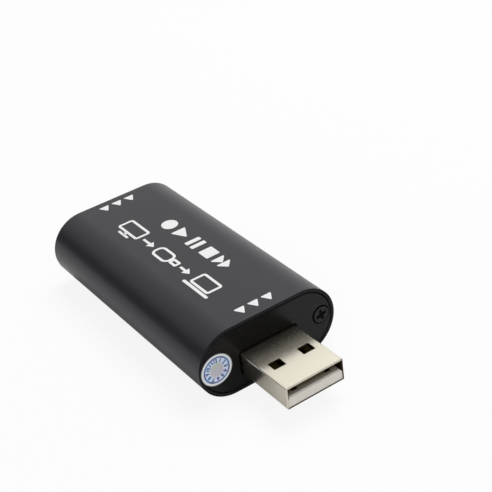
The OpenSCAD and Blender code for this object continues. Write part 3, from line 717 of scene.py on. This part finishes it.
class CAPTUREBOX_OT_stage(bpy.types.Operator):
    """Set the camera, the white floor, the even light and two lamps"""
    bl_idname = "capturebox.stage"
    bl_label = "Stage"

    def execute(self, context):
        studio = context.scene.capture_studio
        self.camera(context, studio)
        self.floor(context, studio)
        self.world(context, studio)
        self.lamp(context, "key", studio.key, studio.key_place, studio.lamp_size)
        self.lamp(context, "front", studio.front, studio.front_place, studio.lamp_size)
        context.scene.view_settings.view_transform = "Standard"
        return {"FINISHED"}

    def camera(self, context, studio):
        """The camera faces back along a line from the object, and is tilted about that line."""
        bearing, height, tilt = studio.turn
        level = math.cos(height)
        back = Vector((math.sin(bearing) * level, -math.cos(bearing) * level, math.sin(height)))
        right = Matrix.Rotation(tilt, 3, back) @ Vector((math.cos(bearing), math.sin(bearing), 0.0))
        axes = Matrix((right, back.cross(right), back)).transposed().to_4x4()
        data = bpy.data.cameras.new("camera")
        data.lens = studio.lens
        data.clip_start = MM
        made = bpy.data.objects.new("camera", data)
        made.matrix_world = Matrix.Translation(studio.eye) @ axes
        context.scene.collection.objects.link(made)
        context.scene.camera = made

    def floor(self, context, studio):
        """A disc of one face. It is lit, and part plain white as it shows."""
        outline = disc(studio.floor_radius)
        mesh = bpy.data.meshes.new("floor")
        mesh.from_pydata(raised(outline, 0), [], [list(range(len(outline)))])
        f = Finish("floor", {"Base Color": studio.floor, "Roughness": 1.0,
                             "Specular IOR Level": 0.0})
        camera, mirrored = f.rays()
        glow = f.node("ShaderNodeEmission", None, {"Color": WHITE, "Strength": 1.0})
        plain = camera * studio.glow + mirrored * studio.mirror_glow
        blend = f.node("ShaderNodeMixShader", None,
                       {0: plain, 1: Wire(f, f.shader.outputs[0]), 2: glow})
        f.put(f.tree.nodes["Material Output"].inputs["Surface"], blend)
        mesh.materials.append(f.material)
        made = bpy.data.objects.new("floor", mesh)
        context.scene.collection.objects.link(made)

    def world(self, context, studio):
        """White to the camera, white with two dark walls in gloss, and the fill where it lights."""
        made = bpy.data.worlds.new("white room")
        made.use_nodes = True
        t = Tree(made.node_tree)
        camera, mirrored = t.rays()
        heading = t.node("ShaderNodeTexCoord", out="Generated")
        behind = self.wall(t, heading, studio.wall_behind, studio.top_behind, studio)
        in_front = self.wall(t, heading, studio.wall_front, studio.top_front, studio)
        shown = 1 - (behind + in_front) * studio.wall_depth
        strength = studio.fill + camera * (1 - studio.fill) + mirrored * (shown - studio.fill)
        background = t.tree.nodes["Background"]
        t.put(background.inputs["Color"], WHITE)
        t.put(background.inputs["Strength"], strength)
        context.scene.world = made

    def wall(self, t, heading, bearing, top, studio):
        """1 within a wall: below its top edge, and near its bearing by the cosine between them."""
        soft = studio.wall_soft
        way = (math.cos(bearing), math.sin(bearing), 0.0)
        nearness = t.node("ShaderNodeVectorMath", {"operation": "DOT_PRODUCT"},
                          {0: heading, 1: way}, out="Value")
        height = t.node("ShaderNodeSeparateXYZ", None, {0: heading}, out="Z")
        reach = studio.wall_reach
        beside = t.ease(nearness, math.cos(reach + soft), math.cos(reach - soft))
        return beside * t.ease(height, math.sin(top + soft), math.sin(top - soft))

    def lamp(self, context, name, watts, where, size):
        """A square lamp that faces the object."""
        data = bpy.data.lights.new(name, "AREA")
        data.energy = watts
        data.size = size
        made = bpy.data.objects.new(name, data)
        made.location = where
        made.rotation_mode = "QUATERNION"
        made.rotation_quaternion = Vector(where).to_track_quat("Z", "Y")
        context.scene.collection.objects.link(made)


class CAPTUREBOX_OT_sleeve(bpy.types.Operator):
    """Anodise the sleeve"""
    bl_idname = "capturebox.sleeve"
    bl_label = "Sleeve"

    def execute(self, context):
        dress(anodised(context.scene.capture_colours), "case_sleeve")
        return {"FINISHED"}


class CAPTUREBOX_OT_ends(bpy.types.Operator):
    """Coat the end plates and plate their screws"""
    bl_idname = "capturebox.ends"
    bl_label = "End plates and screws"

    def execute(self, context):
        colours = context.scene.capture_colours
        dress(coated(colours), "output_end_plate", "input_end_plate")
        dress(black_plated(colours), "output_screw_left", "output_screw_right",
              "input_screw_left", "input_screw_right")
        return {"FINISHED"}


class CAPTUREBOX_OT_seal(bpy.types.Operator):
    """Print the paper seal: a ring, and the numbers 1 to 12 standing outwards round it"""
    bl_idname = "capturebox.seal"
    bl_label = "Seal"
    count = 12
    filled = 0.76    # share of its part of the circle that the widest number fills

    def execute(self, context):
        colours = context.scene.capture_colours
        sizes = context.scene.capture_seal
        dress(seal_paper(colours, sizes), "seal_sticker")
        face = np.array([SEAL_HIGH.x, SEAL_CENTRE.y, SEAL_CENTRE.z])
        half_width = sizes.ring_width / 2
        ring = loop(disc(sizes.ring + half_width), disc(sizes.ring - half_width))
        shapes = [set_on(ring, face, ALONG_Y, ALONG_Z, sizes.rise)]
        room = self.filled * math.tau * sizes.numbers / self.count
        for figure in range(1, self.count + 1):
            turn = math.tau * figure / self.count
            outwards = ALONG_Y * math.sin(turn) + ALONG_Z * math.cos(turn)
            along = ALONG_Y * math.cos(turn) - ALONG_Z * math.sin(turn)
            shape = number(str(figure), sizes.number_height, room, sizes.number_weight)
            middle = face + outwards * sizes.numbers
            shapes.append(set_on(shape, middle, along, outwards, sizes.rise))
        piece("seal_dial", shapes, seal_ink(colours))
        return {"FINISHED"}


class CAPTUREBOX_OT_labels(bpy.types.Operator):
    """Print a row of triangles at each end, pointing from the socket to the plug"""
    bl_idname = "capturebox.labels"
    bl_label = "Flow labels"
    count = 3
    filled = 0.8      # share of its part of the row that a triangle fills
    softness = 0.08   # corner radius, as a share of a triangle's height

    def execute(self, context):
        sizes = context.scene.capture_print
        height = sizes.label_height
        pitch = sizes.label_length / self.count
        places = (np.arange(self.count) - (self.count - 1) / 2) * pitch
        triangles = [stamp(wedge(0.0, y, height, pitch * self.filled), height * self.softness)
                     for y in places]
        material = ink("label ink", context.scene.capture_colours.print)
        for name, x in (("label_output", SLEEVE_HIGH.x - sizes.label_back),
                        ("label_input", SLEEVE_LOW.x + sizes.label_back)):
            piece(name, on_top(triangles, x, 0.0, sizes.rise), material)
        return {"FINISHED"}


class CAPTUREBOX_OT_chain(bpy.types.Operator):
    """Print the signal chain: a screen, an arrow, a stick, an arrow and a laptop"""
    bl_idname = "capturebox.chain"
    bl_label = "Signal chain"
    widths = (1.55, 1.7, 1.75)   # of the screen, the stick and the laptop, in heights of the chain
    arrow_share = 0.66           # share of the room between two pictures that an arrow fills
    arrow_height = 0.42          # in heights of the chain

    def execute(self, context):
        sizes = context.scene.capture_print
        h = sizes.chain_height
        s = sizes.stroke
        half = sizes.chain_length / 2
        screen_w, stick_w, laptop_w = (width * h for width in self.widths)
        shapes = self.screen(-half + screen_w / 2, screen_w, h, s)
        shapes += self.stick(0.0, stick_w, h, s)
        shapes += self.laptop(half - laptop_w / 2, laptop_w, h, s)
        for start, end in ((screen_w - half, -stick_w / 2), (stick_w / 2, half - laptop_w)):
            arrow_w = (end - start) * self.arrow_share
            shapes += self.arrow((start + end) / 2, arrow_w, h * self.arrow_height, s)
        x = SLEEVE_HIGH.x - sizes.chain_back - half
        piece("print_chain", on_top(shapes, x, -sizes.chain_side, sizes.rise),
              ink("print ink", context.scene.capture_colours.print))
        return {"FINISHED"}

    def screen(self, u, w, h, s):
        """A screen on a stem and a foot."""
        panel = h * 0.78
        stem = h * 0.14
        foot = w * 0.5
        return [hollow_box(u, (h - panel) / 2, w, panel, s * 1.2, s),
                stamp(rectangle(u, -h * 0.34, s * 1.4, stem), s * 0.05),
                stamp(rectangle(u, (s - h) / 2, foot, s), s * 0.4)]

    def stick(self, u, w, h, s):
        """A round-sided stick seen from above, with its plug."""
        body = w * 0.7
        plug = w - body
        return [hollow_box(u - plug / 2, 0.0, body, h * 0.7, h * 0.3, s),
                hollow_box(u + body / 2, 0.0, plug, h * 0.36, s * 0.6, s)]

    def laptop(self, u, w, h, s):
        """A lid over a wide base."""
        lid = h * 0.8
        base = s * 1.2
        return [hollow_box(u, (h - lid) / 2, w * 0.76, lid, s * 1.2, s),
                stamp(rectangle(u, (base - h) / 2, w, base), s * 0.5)]

    def arrow(self, u, w, h, s):
        """A bar with a wedge for its head."""
        head = h * 0.8
        bar = w - head
        return [stamp(rectangle(u - head / 2, 0.0, bar, s), s * 0.2),
                stamp(wedge(u + bar / 2, 0.0, head, h), s * 0.15)]


class CAPTUREBOX_OT_keys(bpy.types.Operator):
    """Print a row of playback keys: record, play, pause, stop and wind on"""
    bl_idname = "capturebox.keys"
    bl_label = "Playback keys"
    count = 5

    def execute(self, context):
        sizes = context.scene.capture_print
        h = sizes.keys_height
        soft = h * 0.06
        bar = h * 0.32
        block = h * 0.9
        double = h * 0.58
        last_key = h * 1.2
        reach = (sizes.keys_length - last_key) / 2
        record, play, pause, stop, wind = np.linspace(-reach, reach, self.count)
        shapes = [patch(disc(h / 2, record)),
                  stamp(wedge(play, 0.0, h, h), soft),
                  stamp(rectangle(pause - bar * 0.85, 0.0, bar, h), soft),
                  stamp(rectangle(pause + bar * 0.85, 0.0, bar, h), soft),
                  stamp(rectangle(stop, 0.0, block, block), soft),
                  stamp(wedge(wind - h * 0.3, 0.0, double, h), soft),
                  stamp(wedge(wind + h * 0.3, 0.0, double, h), soft)]
        x = SLEEVE_HIGH.x - sizes.keys_back - sizes.keys_length / 2
        piece("print_keys", on_top(shapes, x, sizes.keys_side, sizes.rise),
              ink("key ink", context.scene.capture_colours.print))
        return {"FINISHED"}


class CAPTUREBOX_OT_plug(bpy.types.Operator):
    """Finish the computer plug: nickel shell, white tongue, gold contacts"""
    bl_idname = "capturebox.plug"
    bl_label = "Computer plug"

    def execute(self, context):
        colours = context.scene.capture_colours
        dress(plug_nickel(colours), "plug_shell")
        dress(plug_white(colours), "plug_insulator")
        dress(plated("plug gold", colours.plug_gold, 0.3), "plug_contact_power",
              "plug_contact_data_minus", "plug_contact_data_plus", "plug_contact_ground")
        return {"FINISHED"}


class CAPTUREBOX_OT_socket(bpy.types.Operator):
    """Finish the video socket: nickel shell and fingers, black tongue, gold contacts"""
    bl_idname = "capturebox.socket"
    bl_label = "Video socket"

    def execute(self, context):
        colours = context.scene.capture_colours
        dress(nickel("socket nickel", colours.socket_metal, 0.2), "socket_shell",
              "spring_finger_upper_left", "spring_finger_upper_right",
              "spring_finger_lower_left", "spring_finger_lower_right")
        dress(moulded("socket black", colours.socket_plastic, 0.42), "socket_insulator")
        dress(plated("socket gold", colours.gold, 0.22),
              "socket_upper_contacts", "socket_lower_contacts")
        return {"FINISHED"}


class CAPTUREBOX_OT_board(bpy.types.Operator):
    """Finish the circuit board and the parts on it"""
    bl_idname = "capturebox.board"
    bl_label = "Circuit board"
    cap = 0.32      # length of a small part's tinned end, in millimetres
    part = 1.6      # length of a ceramic capacitor, in millimetres

    def execute(self, context):
        colours = context.scene.capture_colours
        dress(board_coating(colours), "circuit_board")
        dress(moulded("chip black", colours.chip, 0.5), "capture_chip", "memory_chip",
              "voltage_regulator", "surge_arrays", "crystal_base")
        dress(plated("tinned lead", colours.tin, 0.3), "memory_chip_leads", "regulator_leads")
        dress(nickel("crystal metal", colours.can, 0.25), "crystal_can")
        dress(moulded("ferrite grey", colours.ferrite, 0.6), "power_inductor")
        dress(capped("ceramic tan", colours.ceramic, colours.tin, self.ceramic_caps),
              "ceramic_capacitors")
        dress(capped("resistor black", colours.chip, colours.tin,
                     self.caps_along_x("chip_resistors")), "chip_resistors")
        dress(capped("tantalum yellow", colours.tantalum, colours.tin,
                     self.caps_along_x("bulk_capacitor")), "bulk_capacitor")
        return {"FINISHED"}

    def caps_along_x(self, node):
        """The ends of parts that lie along X, each within a cap's length of the node's own ends."""
        low, high = (corner.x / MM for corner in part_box(node))
        return lambda f: abs(f.axis("X") - (low + high) / 2) > (high - low) / 2 - self.cap

    def ceramic_caps(self, f):
        """The ends of the parts round the chip, at both edges of the square ring that they form."""
        low, high = (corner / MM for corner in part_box("ceramic_capacitors"))
        outer = (high.x - low.x) / 2
        across = abs(f.axis("X") - (low.x + high.x) / 2)
        beside = abs(f.axis("Y") - (low.y + high.y) / 2)
        reach = f.largest(across, beside)
        return f.largest(reach > outer - self.cap, reach < outer - self.part + self.cap)


class CAPTUREBOX_PT_looks(bpy.types.Panel):
    """Sizes, colours and steps of the capture box's looks"""
    bl_label = "Capture box"
    bl_idname = "CAPTUREBOX_PT_looks"
    bl_space_type = "VIEW_3D"
    bl_region_type = "UI"
    bl_category = "Capture box"

    def draw(self, context):
        for group in GROUPS:
            box = self.layout.box()
            settings = getattr(context.scene, group)
            for name in settings.__annotations__:
                box.prop(settings, name)
        for operator in OPERATORS:
            self.layout.operator(operator.bl_idname)


GROUPS = {
    "capture_print": PrintSizes,
    "capture_seal": SealSizes,
    "capture_colours": Colours,
    "capture_studio": Studio,
}
OPERATORS = (
    CAPTUREBOX_OT_stage,
    CAPTUREBOX_OT_sleeve,
    CAPTUREBOX_OT_ends,
    CAPTUREBOX_OT_seal,
    CAPTUREBOX_OT_labels,
    CAPTUREBOX_OT_chain,
    CAPTUREBOX_OT_keys,
    CAPTUREBOX_OT_plug,
    CAPTUREBOX_OT_socket,
    CAPTUREBOX_OT_board,
)
CLASSES = (*GROUPS.values(), *OPERATORS, CAPTUREBOX_PT_looks)


def register():
    for cls in CLASSES:
        bpy.utils.register_class(cls)
    for name, group in GROUPS.items():
        setattr(bpy.types.Scene, name, bpy.props.PointerProperty(type=group))


def unregister():
    for name in GROUPS:
        delattr(bpy.types.Scene, name)
    for cls in reversed(CLASSES):
        bpy.utils.unregister_class(cls)


def main():
    register()
    bpy.ops.capturebox.stage()
    bpy.ops.capturebox.sleeve()
    bpy.ops.capturebox.ends()
    bpy.ops.capturebox.seal()
    bpy.ops.capturebox.labels()
    bpy.ops.capturebox.chain()
    bpy.ops.capturebox.keys()
    bpy.ops.capturebox.plug()
    bpy.ops.capturebox.socket()
    bpy.ops.capturebox.board()


if __name__ == "__main__":
    main()
